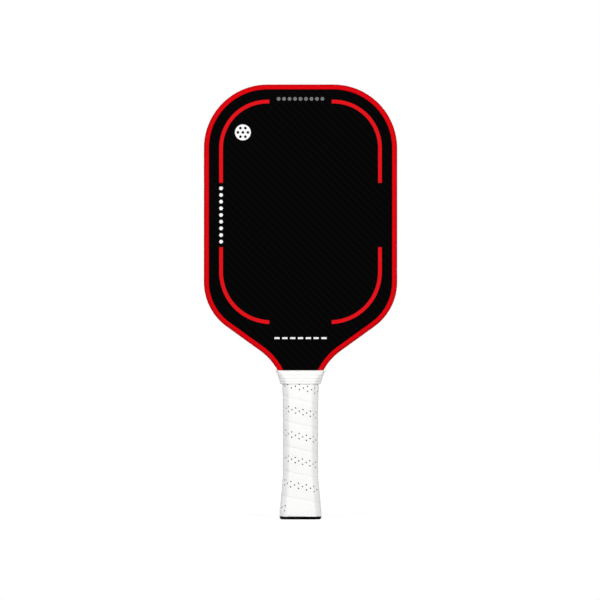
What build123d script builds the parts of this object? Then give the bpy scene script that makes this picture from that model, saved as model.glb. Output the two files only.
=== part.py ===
from build123d import *
import math
import os

# An elongated pickleball paddle in millimetres, standing on the flat end of its butt cap.
# The origin is the centre of that flat end. +Z runs up the handle to the tip of the head,
# +X is to the right of the front face, and the front face looks towards -Y.

# Head outline, over the edge guard
overall_length = 419.0
head_width = 186.6
tip_corner_radius = 61.5
shoulder_rise = 89.8  # from the handle's top to where the shoulder arc meets the straight side
shoulder_radius = 53.0
shoulder_turn = 54.2  # degrees from straight down to the taper into the throat
throat_radius = 56.0
throat_width = 30.8  # where the two throat arcs would run straight down

# Layers of the panel
core_thickness = 16.0
film_thickness = 0.15
skin_thickness = 0.5
layer_gap = 0.02  # resin line between two layers
cell_width = 8.0  # honeycomb cell across its flats, from wall centre to wall centre
cell_wall = 0.35
core_rim = 0.6  # hot-cut edge that closes the outer cells
smallest_cell = 3.0  # square millimetres: a smaller clipped cell is left solid
tongue_width = 22.0

# Edge guard
guard_web = 1.6
guard_lip = 1.0
guard_lip_width = 5.2
guard_lip_slope = 0.5
guard_edge_radius = 2.5
guard_tape_thickness = 0.4
guard_tape_width = 12.0

# Handle halves, from the tongue outwards
bond_thickness = 0.15
half_face_wall = 3.6
half_side_wall = 3.85
neck_length = 28.6  # the top of the handle, which widens and thins into the neck
neck_widening = 1.15
neck_thinning = 2.2
handle_top = 138.6
parting_gap = 0.1  # glue line between the two halves

# Flare and butt cap
flare_start = 8.0
flare_end = 50.0
flare_out = 3.3
flare_curve = 1.4  # exponent of the flare's profile: 1 is a straight taper
flare_steps = 8
flange_height = 2.8
flange_lip = 0.15  # the flange stands this far outside the grip
flange_bevel = 1.2
flange_bevel_height = 2.0
cap_floor = 3.2
cap_skirt_wall = 1.3

# Cushion grip, with the staple and tape that hold its two ends
grip_thickness = 1.8
grip_bevel = 5.8
grip_corner_radius = 3.5
least_corner_radius = 0.5
finishing_tape_thickness = 0.2
finishing_tape_width = 6.5
staple_width = 10.0
staple_wire = 0.6
staple_leg = 4.5

# Collar, which hides the top of the grip and the ends of the edge guard
collar_overlap = 8.4  # from the handle's top down to the collar's bottom
collar_height = 13.2
collar_wall = 1.7
collar_ribs = 5
top_rib_height = 3.2
bottom_rib_height = 1.9
groove_height = 0.7
groove_depth = 0.4
collar_middle_bevel = 4.0
collar_top_bevel = 1.6
collar_middle_radius = 2.2
collar_top_radius = 1.0

# Clearances
glue_gap = 0.05  # between bonded or wrapped pieces
end_gap = 0.2  # between ends that meet

# Printed decoration
ink_thickness = 0.08
border_line = 3.6
border_inset = 15.0  # from the outside of the edge guard
border_drop = 40.4  # from the shoulder down to the outside of the bottom line
border_bottom_radius = 50.0
side_break_height = 62.0
end_break_width = 60.0
ball_diameter = 15.3
ball_side_inset = 22.8  # from the outside of the border
ball_top_inset = 31.5
ball_hole_diameter = 2.6
ball_ring_diameter = 9.6
ball_ring_holes = 6
mark_width = 3.4
side_mark_count = 9
tip_mark_inset = 14.2  # from the tip
tip_mark_count = 9
tip_row_length = 45.6
throat_mark_drop = 54.0  # from the shoulder down to the row
throat_mark_count = 7
throat_row_length = 50.2
dash_length = 5.0
dash_height = 1.8

# Values that follow from the sizes above
half_core = core_thickness / 2
film_seat = half_core + layer_gap
skin_seat = film_seat + film_thickness + layer_gap
half_stack = skin_seat + skin_thickness
bond_seat = half_stack + layer_gap
half_guard = half_stack + glue_gap + guard_lip
panel_inset = guard_web + guard_tape_thickness + 2 * glue_gap
shoulder_height = handle_top + shoulder_rise
neck_start = handle_top - neck_length
collar_bottom = handle_top - collar_overlap
guard_end = handle_top + end_gap
handle_end = cap_floor + end_gap
grip_depth = grip_thickness + glue_gap
skirt_depth = grip_depth + cap_skirt_wall
mid_half_width = tongue_width / 2 + glue_gap + half_side_wall + grip_depth
mid_half_thickness = bond_seat + bond_thickness + glue_gap + half_face_wall + grip_depth
collar_top = collar_bottom + collar_height
collar_fit = finishing_tape_thickness + 2 * glue_gap
grip_bottom = flange_height + glue_gap
staple_height = (flange_height + flare_start) / 2
border_half_width = head_width / 2 - border_inset
border_top = overall_length - border_inset
border_bottom = shoulder_height - border_drop
side_middle = (shoulder_height + overall_length - tip_corner_radius) / 2
flare_pitch = (flare_end - flare_start) / flare_steps
handle_stations = [flare_start + step * flare_pitch for step in range(flare_steps + 1)]
handle_stations.append(neck_start)


# Head outline


def shoulder_centre():
    """Centre of the right shoulder arc, as x and height."""
    return head_width / 2 - shoulder_radius, shoulder_height


def throat_centre():
    """Centre of the right throat arc, which is tangent to the taper below the shoulder."""
    turn = math.radians(shoulder_turn)
    x = throat_width / 2 + throat_radius
    reach = shoulder_radius + throat_radius - (x - shoulder_centre()[0]) * math.cos(turn)
    return x, shoulder_height - reach / math.sin(turn)


def on_circle(centre, radius, degrees):
    """Point of a circle in the outline's plane."""
    angle = math.radians(degrees)
    return centre[0] + radius * math.cos(angle), centre[1] + radius * math.sin(angle)


def arc(centre, radius, start, end):
    """Arc of a circle between two directions in degrees."""
    directions = (start, (start + end) / 2, end)
    return ThreePointArc(*[on_circle(centre, radius, direction) for direction in directions])


def throat_direction(inset, height):
    """Direction in degrees from the throat centre to the outline at a height."""
    rise = height - throat_centre()[1]
    return 180 - math.degrees(math.asin(rise / (throat_radius + inset)))


def throat_half_width(height):
    """Half width of the throat at a height, over the edge guard."""
    return on_circle(throat_centre(), throat_radius, throat_direction(0, height))[0]


def head_outline(inset, bottom):
    """Head outline moved inwards by an inset and cut off flat in the throat."""
    side = head_width / 2 - inset
    tip = overall_length - inset
    tip_centre = (head_width / 2 - tip_corner_radius, overall_length - tip_corner_radius)
    tip_arc = arc(tip_centre, tip_corner_radius - inset, 90, 0)
    shoulder_arc = arc(shoulder_centre(), shoulder_radius - inset, 0, -shoulder_turn)
    last = throat_direction(inset, bottom)
    throat_arc = arc(throat_centre(), throat_radius + inset, 180 - shoulder_turn, last)
    right = Curve() + [
        Line((0, tip), tip_arc @ 0),
        tip_arc,
        Line((side, tip_centre[1]), (side, shoulder_height)),
        shoulder_arc,
        Line(shoulder_arc @ 1, throat_arc @ 0),
        throat_arc,
        Line(throat_arc @ 1, (0, bottom)),
    ]
    return make_face(right + mirror(right, about=Plane.YZ))


def panel_outline(inset):
    """Outline of the panel's layers: the head and the tongue that runs down the handle."""
    top = guard_end + inset
    bottom = handle_end + inset
    tongue_length = top - bottom + guard_tape_width  # reaches into the head to join it
    tongue = Pos(0, bottom + tongue_length / 2) * Rectangle(tongue_width - 2 * inset, tongue_length)
    return head_outline(panel_inset + inset, top) + tongue


def plate(outline, front, back):
    """Slab of an outline between two distances from the panel's mid plane."""
    return extrude(Plane.XZ.offset(-back) * outline, back - front)


def sheet(outline, side, seat, thickness):
    """Slab on the front (side -1) or the rear (side 1), from its seat outwards."""
    inner = side * seat
    outer = side * (seat + thickness)
    return plate(outline, min(inner, outer), max(inner, outer))


# Panel


def cell_centres():
    """Centres of a honeycomb grid over the panel, each second row set off by half a cell."""
    row_pitch = cell_width * math.sqrt(3) / 2
    rows = math.ceil((overall_length - handle_end) / row_pitch) + 1
    columns = math.ceil(head_width / 2 / cell_width) + 1
    for row in range(rows):
        shift = cell_width / 2 * (row % 2)
        for column in range(-columns, columns + 1):
            yield column * cell_width + shift, handle_end + row * row_pitch


def cell_openings():
    """Outlines of the honeycomb's open cells, clipped where they meet the panel's edge."""
    field = panel_outline(core_rim).face()
    corner_radius = (cell_width - cell_wall) / math.sqrt(3)
    openings = []
    for centre in cell_centres():
        corners = [Vector(*on_circle(centre, corner_radius, 30 + 60 * k)) for k in range(6)]
        inside = [field.is_inside(corner) for corner in corners]
        opening = Wire.make_polygon(corners)
        if all(inside):
            openings.append(opening)
        elif any(inside):
            clipped = (Sketch() + Face(opening)) & field
            openings += [f.outer_wire() for f in clipped.faces() if f.area > smallest_cell]
    return openings


def honeycomb_core():
    """Plastic honeycomb with open cells and a closed edge."""
    outer = panel_outline(0).face().outer_wire()
    return plate(Face(outer, cell_openings()), -half_core, half_core)


def adhesive_film(side):
    """Film that bonds a skin to the core."""
    return sheet(panel_outline(0), side, film_seat, film_thickness)


def face_skin(side):
    """Carbon skin, in one piece with the tongue's skin."""
    return sheet(panel_outline(0), side, skin_seat, skin_thickness)


# Edge guard


def lip_window(side):
    """Opening between the guard's lips on one side, wider towards the outside."""
    seat = half_stack
    reach = guard_lip + 2 * glue_gap
    inner = head_outline(guard_lip_width, collar_bottom)
    outer = head_outline(guard_lip_width - guard_lip_slope, collar_bottom)
    near = Plane.XZ.offset(-side * seat) * inner
    far = Plane.XZ.offset(-side * (seat + reach)) * outer
    return loft([near, far], ruled=True)


def edge_guard():
    """Channel of rubbery plastic clipped over the panel's edge, open at the throat."""
    channel = plate(head_outline(0, collar_bottom), -half_guard, half_guard)
    rims = channel.faces().filter_by(Axis.Y).edges()
    rims = rims.filter_by_position(Axis.Z, collar_bottom, overall_length, inclusive=(False, True))
    channel = fillet(rims, guard_edge_radius)
    slot = head_outline(guard_web, collar_bottom)
    channel -= plate(slot, -half_stack - glue_gap, half_stack + glue_gap)
    channel -= lip_window(-1)
    channel -= lip_window(1)
    return split(channel, Plane.XY.offset(guard_end), keep=Keep.TOP)


def edge_guard_tape():
    """Double-sided tape between the panel's edge and the guard's web."""
    outer = head_outline(guard_web + glue_gap, guard_end)
    inner = head_outline(panel_inset - glue_gap, collar_bottom)
    return plate(outer - inner, -guard_tape_width / 2, guard_tape_width / 2)


# Handle


def octagon(half_width, half_thickness, bevel, corner_radius):
    """Rectangle with bevelled and rounded corners."""
    outline = Rectangle(2 * half_width, 2 * half_thickness)
    outline = chamfer(outline.vertices(), bevel)
    return fillet(outline.vertices(), corner_radius)


def flare(height):
    """Share of the flare at a height: 1 at the butt, 0 from the flare's end upwards."""
    rise = (flare_end - height) / (flare_end - flare_start)
    return min(max(rise, 0), 1) ** flare_curve


def neck(height):
    """Share of the neck's taper at a height: 0 up to its start, 1 at the handle's top."""
    return max(height - neck_start, 0) / (handle_top - neck_start)


def grip_half_width(height):
    """Half width over the cushion grip."""
    return mid_half_width + flare_out * flare(height) + neck_widening * neck(height)


def grip_half_thickness(height):
    """Half thickness over the cushion grip."""
    return mid_half_thickness + flare_out * flare(height) - neck_thinning * neck(height)


def bevel_inside(bevel, depth):
    """Bevel of the same octagon moved inwards by a depth."""
    return bevel - depth * (2 - math.sqrt(2))


def handle_section(height, depth):
    """Cross-section of the handle, a depth below the cushion grip's surface."""
    section = octagon(
        grip_half_width(height) - depth,
        grip_half_thickness(height) - depth,
        bevel_inside(grip_bevel, depth),
        max(grip_corner_radius - depth, least_corner_radius),
    )
    return Pos(0, 0, height) * section


def handle_loft(low, high, depth):
    """Solid of the handle between two heights, a depth below the grip's surface."""
    between = [height for height in handle_stations if low < height < high]
    sections = [handle_section(height, depth) for height in [low, *between, high]]
    return loft(sections, ruled=True)


def handle_shell(low, high, outside, inside):
    """Tube round the handle between two heights and two depths."""
    return handle_loft(low, high, outside) - handle_loft(low - 1, high + 1, inside)


def block(half_width, front, back, low, high):
    """Block centred across the handle."""
    size = Box(2 * half_width, back - front, high - low)
    return Pos(0, (front + back) / 2, (low + high) / 2) * size


def handle_half(side):
    """Moulded half of the handle, glued to one side of the tongue."""
    body = handle_loft(flare_end, handle_top, grip_depth)
    body += handle_loft(handle_end, flare_end, skirt_depth + glue_gap)
    slot_depth = bond_seat + bond_thickness + glue_gap
    slot_half_width = tongue_width / 2 + glue_gap
    body -= block(slot_half_width, -slot_depth, slot_depth, 0, overall_length)
    near = side * parting_gap / 2
    far = side * head_width
    body &= block(head_width, min(near, far), max(near, far), 0, overall_length)
    return body - grip_staple()


def handle_bond(side):
    """Adhesive sheet between the tongue and a handle half."""
    length = handle_top - handle_end
    outline = Pos(0, handle_end + length / 2) * Rectangle(tongue_width, length)
    return sheet(outline, side, bond_seat, bond_thickness)


def butt_cap():
    """Cup that closes the handle, with a bevelled flange below the grip."""
    bottom = handle_section(0, flange_bevel - flange_lip)
    flange = loft([bottom, handle_section(flange_bevel_height, -flange_lip)], ruled=True)
    flange += handle_loft(flange_bevel_height, flange_height, -flange_lip)
    skirt = handle_loft(flange_height, flare_end - end_gap, grip_depth)
    cup = flange + skirt - handle_loft(cap_floor, flare_end, skirt_depth)
    return cup - grip_staple()


def grip_staple():
    """Wire staple at the rear that pins the start of the grip through the cap's skirt."""
    seat = grip_half_thickness(staple_height) - grip_depth
    low = staple_height - staple_wire / 2
    high = staple_height + staple_wire / 2
    staple = block(staple_width / 2, seat, seat + staple_wire, low, high)
    for side in (-1, 1):
        leg = block(staple_wire / 2, seat - staple_leg, seat, low, high)
        staple += Pos(side * (staple_width - staple_wire) / 2, 0, 0) * leg
    return staple


def cushion_grip():
    """Cushion tape wrapped round the handle, as the sleeve that it forms."""
    return handle_shell(grip_bottom, handle_top, 0, grip_thickness) - grip_staple()


def finishing_tape():
    """Tape round the top end of the cushion grip."""
    low = handle_top - finishing_tape_width
    return handle_shell(low, handle_top, -glue_gap - finishing_tape_thickness, -glue_gap)


# Collar


def collar_bore(height):
    """Half width, half thickness, bevel and corner radius of the collar's bore at a height."""
    low = (
        grip_half_width(collar_bottom) + collar_fit,
        grip_half_thickness(collar_bottom) + collar_fit,
        grip_bevel,
        grip_corner_radius,
    )
    middle = (
        max(grip_half_width(handle_top), throat_half_width(guard_end)) + collar_fit,
        grip_half_thickness(handle_top) + collar_fit,
        collar_middle_bevel,
        collar_middle_radius,
    )
    high = (
        throat_half_width(collar_top) + collar_fit,
        half_guard + collar_fit,
        collar_top_bevel,
        collar_top_radius,
    )
    if height < handle_top:
        share = (height - collar_bottom) / (handle_top - collar_bottom)
        return [a + share * (b - a) for a, b in zip(low, middle)]
    share = (height - handle_top) / (collar_top - handle_top)
    return [a + share * (b - a) for a, b in zip(middle, high)]


def collar_section(height, wall):
    """Cross-section of the collar, a wall outside its bore."""
    half_width, half_thickness, bevel, radius = collar_bore(height)
    outer_bevel = bevel_inside(bevel, -wall)
    return Pos(0, 0, height) * octagon(
        half_width + wall, half_thickness + wall, outer_bevel, radius + wall
    )


def grip_collar():
    """Stretchy ribbed collar, flared from the grip to the throat."""
    rib_pitch = (collar_height - top_rib_height - bottom_rib_height) / (collar_ribs - 2)
    outside = [collar_section(collar_bottom, collar_wall)]
    for groove in range(collar_ribs - 1):
        height = collar_bottom + bottom_rib_height + groove * rib_pitch
        outside.append(collar_section(height - groove_height / 2, collar_wall))
        outside.append(collar_section(height, collar_wall - groove_depth))
        outside.append(collar_section(height + groove_height / 2, collar_wall))
    outside.append(collar_section(collar_top, collar_wall))
    inside = [collar_section(height, 0) for height in (collar_bottom, handle_top, collar_top)]
    return loft(outside, ruled=True) - loft(inside, ruled=True)


# Printed decoration


def border_field(inset):
    """Rounded field of the border, moved inwards by an inset."""
    half_width = border_half_width - inset
    top = border_top - inset
    bottom = border_bottom + inset
    field = Pos(0, (top + bottom) / 2) * Rectangle(2 * half_width, top - bottom)
    corners = field.vertices().sort_by(Axis.Y)
    field = fillet(corners[2:], tip_corner_radius - border_inset - inset)
    corners = field.vertices().sort_by(Axis.Y)
    return fillet(corners[:2], border_bottom_radius - inset)


def border_print(side):
    """Border of four corner lines, broken at the middle of each side."""
    lines = border_field(0) - border_field(border_line)
    lines -= Pos(0, side_middle) * Rectangle(head_width, side_break_height)
    lines -= Pos(0, side_middle) * Rectangle(end_break_width, 2 * overall_length)
    return sheet(lines, side, half_stack, ink_thickness)


def ball_print():
    """Round ball mark with one hole in the middle and a ring of holes."""
    hole = Circle(ball_hole_diameter / 2)
    ball = Circle(ball_diameter / 2) - hole
    ball -= PolarLocations(ball_ring_diameter / 2, ball_ring_holes) * hole
    centre = Pos(ball_side_inset - border_half_width, border_top - ball_top_inset)
    return sheet(centre * ball, -1, half_stack, ink_thickness)


def spread(length, size, count):
    """Centres of a row of marks that fills a length."""
    pitch = (length - size) / (count - 1)
    return [(index - (count - 1) / 2) * pitch for index in range(count)]


def hexagon():
    """Hexagonal mark."""
    return RegularPolygon(mark_width / 2, 6, major_radius=False)


def tip_marks():
    """Row of small hexagons at the tip."""
    row = Sketch()
    for x in spread(tip_row_length, mark_width, tip_mark_count):
        row += Pos(x, overall_length - tip_mark_inset) * hexagon()
    return sheet(row, -1, half_stack, ink_thickness)


def side_marks():
    """Column of small hexagons in the border's left break."""
    column = Sketch()
    x = border_line / 2 - border_half_width
    length = side_break_height - 2 * border_line
    for rise in spread(length, mark_width, side_mark_count):
        column += Pos(x, side_middle + rise) * hexagon()
    return sheet(column, -1, half_stack, ink_thickness)


def throat_marks():
    """Row of dashes above the throat."""
    row = Sketch()
    for x in spread(throat_row_length, dash_length, throat_mark_count):
        row += Pos(x, shoulder_height - throat_mark_drop) * Rectangle(dash_length, dash_height)
    return sheet(row, -1, half_stack, ink_thickness)


sub_parts = {
    "honeycomb_core": honeycomb_core(),
    "front_adhesive_film": adhesive_film(-1),
    "rear_adhesive_film": adhesive_film(1),
    "front_face_skin": face_skin(-1),
    "rear_face_skin": face_skin(1),
    "edge_guard": edge_guard(),
    "edge_guard_tape": edge_guard_tape(),
    "front_handle_half": handle_half(-1),
    "rear_handle_half": handle_half(1),
    "front_handle_bond": handle_bond(-1),
    "rear_handle_bond": handle_bond(1),
    "butt_cap": butt_cap(),
    "grip_staple": grip_staple(),
    "cushion_grip": cushion_grip(),
    "grip_finishing_tape": finishing_tape(),
    "grip_collar": grip_collar(),
    "front_border_print": border_print(-1),
    "rear_border_print": border_print(1),
    "front_ball_print": ball_print(),
    "front_tip_marks": tip_marks(),
    "front_side_marks": side_marks(),
    "front_throat_marks": throat_marks(),
}

os.makedirs("parts", exist_ok=True)
for node, shape in sub_parts.items():
    export_step(shape, f"parts/{node}.step")
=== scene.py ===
"""A pickleball paddle with a raw carbon face, a red edge guard and a white perforated grip.

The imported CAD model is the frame. Every new piece is in its metres, stands where its nodes say and rides
on its body. The wound grip tape, the stretchy collar, the edge guard and the butt cap are modelled here, and
every other node keeps its shape and gets its finish.
"""

from __future__ import annotations

import bisect
import logging
import math
from collections.abc import Callable, Iterable, Mapping
from dataclasses import dataclass, field
from enum import Enum

import bmesh
import bpy
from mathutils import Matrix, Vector


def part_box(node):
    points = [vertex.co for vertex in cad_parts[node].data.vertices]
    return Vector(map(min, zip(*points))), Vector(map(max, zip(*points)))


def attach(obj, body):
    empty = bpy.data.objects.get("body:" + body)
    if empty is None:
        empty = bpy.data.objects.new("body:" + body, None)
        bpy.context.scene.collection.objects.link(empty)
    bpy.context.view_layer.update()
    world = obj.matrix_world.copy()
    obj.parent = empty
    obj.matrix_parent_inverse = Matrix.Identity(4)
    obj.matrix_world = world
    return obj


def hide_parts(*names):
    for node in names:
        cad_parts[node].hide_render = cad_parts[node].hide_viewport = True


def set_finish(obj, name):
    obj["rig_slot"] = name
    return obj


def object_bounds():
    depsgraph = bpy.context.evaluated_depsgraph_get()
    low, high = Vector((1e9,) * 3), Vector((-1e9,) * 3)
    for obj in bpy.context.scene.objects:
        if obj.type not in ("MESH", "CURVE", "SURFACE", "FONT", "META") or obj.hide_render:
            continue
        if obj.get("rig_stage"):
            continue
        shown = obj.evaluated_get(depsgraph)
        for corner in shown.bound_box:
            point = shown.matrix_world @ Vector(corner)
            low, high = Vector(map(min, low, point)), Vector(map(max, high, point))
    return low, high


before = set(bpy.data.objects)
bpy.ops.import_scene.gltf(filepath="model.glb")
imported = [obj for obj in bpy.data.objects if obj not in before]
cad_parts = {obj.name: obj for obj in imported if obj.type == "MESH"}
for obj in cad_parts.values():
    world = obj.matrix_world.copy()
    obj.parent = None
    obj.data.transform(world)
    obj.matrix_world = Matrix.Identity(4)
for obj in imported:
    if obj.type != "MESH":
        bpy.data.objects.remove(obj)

MM = 0.001
BODY = "root"
GRIT = 0.16 * MM
TAPE_HALF_WIDTH = 12.95 * MM
BLACK = (0.0, 0.0, 0.0)
WHITE = (1.0, 1.0, 1.0)
LOG = logging.getLogger("paddle")

Colour = tuple[float, float, float]
Pair = tuple[float, float]


# Shader trees


def joined(operation: str, swapped: bool = False) -> Callable[[Field, Field | float], Field]:
    """Make an operator that joins a field with another field or a number.

    Args:
        operation: The Math node's operation.
        swapped: Whether the field stands on the operator's right.

    Returns:
        The operator's method.
    """

    def method(self: Field, other: Field | float) -> Field:
        """Add the Math node to the field's tree."""
        return self.tree.math(operation, other, self) if swapped else self.tree.math(operation, self, other)

    return method


class Field:
    """A number that varies over a surface. Its operators add Math nodes to the tree it comes from."""

    __add__, __radd__ = joined("ADD"), joined("ADD", swapped=True)
    __sub__, __rsub__ = joined("SUBTRACT"), joined("SUBTRACT", swapped=True)
    __mul__, __rmul__ = joined("MULTIPLY"), joined("MULTIPLY", swapped=True)
    __truediv__, __rtruediv__ = joined("DIVIDE"), joined("DIVIDE", swapped=True)
    __mod__, __rmod__ = joined("FLOORED_MODULO"), joined("FLOORED_MODULO", swapped=True)
    __lt__, __gt__ = joined("LESS_THAN"), joined("GREATER_THAN")

    def __init__(self, tree: ShaderTree, socket: bpy.types.NodeSocket) -> None:
        """Wrap an output socket of a tree."""
        self.tree = tree
        self.socket = socket

    def __abs__(self) -> Field:
        """Distance from zero."""
        return self.tree.math("ABSOLUTE", self)

    def floor(self) -> Field:
        """Whole part."""
        return self.tree.math("FLOOR", self)

    def sine(self) -> Field:
        """Sine of the field in radians."""
        return self.tree.math("SINE", self)

    def wave(self, pitch: float) -> Field:
        """Wave from -1 to 1 that repeats at a pitch."""
        return (self * (math.tau / pitch)).sine()

    def between(self, low: float, high: float) -> Field:
        """Rise smoothly from 0 to 1, and stay level outside.

        Args:
            low: Value at which the rise starts.
            high: Value at which it ends.

        Returns:
            The smooth step.
        """
        node = self.tree.node(
            "ShaderNodeMapRange",
            {"interpolation_type": "SMOOTHSTEP"},
            {"Value": self, "From Min": low, "From Max": high},
        )
        return Field(self.tree, node.outputs["Result"])


class ShaderTree:
    """The node tree of one material or world."""

    def __init__(self, owner: bpy.types.Material | bpy.types.World) -> None:
        """Empty the owner's tree.

        Args:
            owner: The material or world whose tree this is.
        """
        self.owner = owner
        owner.use_nodes = True
        owner.node_tree.nodes.clear()

    def node(
        self,
        kind: str,
        settings: Mapping[str, object] | None = None,
        sockets: Mapping[str | int, object] | None = None,
    ) -> bpy.types.Node:
        """Add a node.

        Args:
            kind: The node's Blender type.
            settings: Properties that are set first.
            sockets: A value, a socket or a Field for each input.

        Returns:
            The new node.
        """
        node = self.owner.node_tree.nodes.new(kind)
        for name, value in (settings or {}).items():
            setattr(node, name, value)
        for name, value in (sockets or {}).items():
            source = value.socket if isinstance(value, Field) else value
            if isinstance(source, bpy.types.NodeSocket):
                self.owner.node_tree.links.new(source, node.inputs[name])
            else:
                node.inputs[name].default_value = source
        return node

    def math(self, operation: str, *terms: Field | float) -> Field:
        """Add a Math node.

        Args:
            operation: The node's operation.
            terms: Its inputs in order.

        Returns:
            The result.
        """
        node = self.node("ShaderNodeMath", {"operation": operation}, dict(enumerate(terms)))
        return Field(self, node.outputs[0])

    def place(self) -> bpy.types.NodeSocket:
        """Give the object's own coordinates."""
        return self.node("ShaderNodeTexCoord").outputs["Object"]

    def seen(self) -> Field:
        """Mark the rays from the lens, from gloss and through glass.

        Returns:
            1 on these rays and 0 on all others.
        """
        path = self.node("ShaderNodeLightPath").outputs
        rays = ("Is Camera Ray", "Is Glossy Ray", "Is Transmission Ray")
        lens, gloss, glass = (Field(self, path[ray]) for ray in rays)
        return self.math("MAXIMUM", self.math("MAXIMUM", lens, gloss), glass)

    def axes(self, place: bpy.types.NodeSocket) -> tuple[Field, Field, Field]:
        """Split a vector into its X, Y and Z."""
        parts = self.node("ShaderNodeSeparateXYZ", None, {"Vector": place}).outputs
        return Field(self, parts[0]), Field(self, parts[1]), Field(self, parts[2])

    def noise(self, place: bpy.types.NodeSocket, size: float, detail: float = 2.0) -> Field:
        """Add noise that runs from 0 to 1.

        Args:
            place: Coordinates in metres.
            size: Size of a blotch in metres.
            detail: Octaves of finer noise.

        Returns:
            The noise.
        """
        node = self.node("ShaderNodeTexNoise", None, {"Vector": place, "Scale": 1.0 / size, "Detail": detail})
        return Field(self, node.outputs["Fac"])

    def cells(self, place: bpy.types.NodeSocket, size: float) -> Field:
        """Add the distance to the nearest of scattered points, 0 on a point.

        Args:
            place: Coordinates in metres.
            size: Mean distance between points in metres.

        Returns:
            The distance in units of the size.
        """
        node = self.node("ShaderNodeTexVoronoi", None, {"Vector": place, "Scale": 1.0 / size})
        return Field(self, node.outputs["Distance"])

    def mixed(
        self, share: Field, low: Colour | bpy.types.NodeSocket, high: Colour
    ) -> bpy.types.NodeSocket:
        """Mix two colours.

        Args:
            share: 0 for the low colour and 1 for the high one.
            low: First colour, or the socket that gives it.
            high: Second colour.

        Returns:
            The mixed colour's socket.
        """
        start = (*low, 1.0) if isinstance(low, tuple) else low
        mix = self.node("ShaderNodeMix", {"data_type": "RGBA"}, {0: share, 6: start, 7: (*high, 1.0)})
        return mix.outputs[2]

    def relief(
        self, height: Field, depth: float, under: bpy.types.NodeSocket | None = None
    ) -> bpy.types.NodeSocket:
        """Turn a height into a normal.

        Args:
            height: Height that runs from about 0 to 1.
            depth: Metres that a height of 1 stands for.
            under: Normal of a coarser relief below this one.

        Returns:
            The normal's socket.
        """
        sockets = {"Height": height, "Distance": depth}
        if under is not None:
            sockets["Normal"] = under
        return self.node("ShaderNodeBump", None, sockets).outputs["Normal"]

    def finish(self, **sockets: object) -> bpy.types.Material:
        """Close the tree with one Principled surface.

        Args:
            sockets: Values, sockets or Fields, named as the shader's inputs with _ for a space.

        Returns:
            The finished material.
        """
        inputs = {name.replace("_", " "): value for name, value in sockets.items()}
        surface = self.node("ShaderNodeBsdfPrincipled", None, inputs)
        self.node("ShaderNodeOutputMaterial", None, {"Surface": surface.outputs["BSDF"]})
        return self.owner


# Finishes


@dataclass(frozen=True)
class Surface:
    """What every finish has: a name, and a material that it builds."""

    name: str

    def start(self) -> tuple[ShaderTree, bpy.types.NodeSocket]:
        """Open the tree of a new material and give it with the object's own coordinates."""
        tree = ShaderTree(bpy.data.materials.new(self.name))
        return tree, tree.place()


@dataclass(frozen=True)
class RawCarbon(Surface):
    """Peel-ply carbon skin: flat twill tows under a fine grit that spins the ball."""

    name: str = "raw_carbon"
    resin: Colour = (0.0001, 0.0001, 0.0001)
    fibre: Colour = (0.0020, 0.0020, 0.0022)
    tow: float = 1.9 * MM
    tow_depth: float = 0.05 * MM
    ply: float = 0.45 * MM
    ply_depth: float = 0.03 * MM
    patch: float = 26 * MM
    gloss: float = 0.008

    def material(self) -> bpy.types.Material:
        """Build the skin's material.

        Returns:
            The finished material.
        """
        tree, place = self.start()
        x, _, z = tree.axes(place)
        across, along = x / self.tow, z / self.tow
        over = ((across.floor() + along.floor()) % 4.0) < 2.0
        warp = ((across % 1.0) * math.pi).sine()
        weft = ((along % 1.0) * math.pi).sine()
        cloth = over * warp + (1.0 - over) * weft
        imprint = (x + z).wave(self.ply) * (x - z).wave(self.ply)
        grit = tree.noise(place, GRIT, 3.0)
        patches = tree.noise(place, self.patch)
        shade = over * 0.5 + cloth * 0.3 + grit * 0.12 + patches * 0.08
        coarse = tree.relief(cloth, self.tow_depth)
        return tree.finish(
            Base_Color=tree.mixed(shade, self.resin, self.fibre),
            Roughness=0.5 + over * 0.06 + patches * 0.08,
            Normal=tree.relief(imprint * 0.3 + grit * 0.7, self.ply_depth, coarse),
            Specular_IOR_Level=self.gloss,
        )


@dataclass(frozen=True)
class MouldedRubber(Surface):
    """Satin moulded plastic or rubber, with a fine spark-eroded grain and faint flow marks."""

    light: Colour
    dark: Colour
    roughness: float = 0.42
    grain: float = 0.3 * MM
    grain_depth: float = 0.016 * MM
    gloss: float = 0.25
    flow_mark: float = 38 * MM
    rubbing: float = 7 * MM

    def material(self) -> bpy.types.Material:
        """Build the moulding's material.

        Returns:
            The finished material.
        """
        tree, place = self.start()
        grain = tree.noise(place, self.grain, 2.0)
        flow = tree.noise(place, self.flow_mark, 1.0)
        rubbed = tree.noise(place, self.rubbing, 3.0)
        shade = flow * 0.6 + rubbed * 0.25 + grain * 0.15
        return tree.finish(
            Base_Color=tree.mixed(shade.between(0.3, 0.7), self.dark, self.light),
            Roughness=self.roughness + (rubbed - 0.5) * 0.16 + (grain - 0.5) * 0.08,
            Normal=tree.relief(grain, self.grain_depth),
            Specular_IOR_Level=self.gloss,
        )


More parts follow.
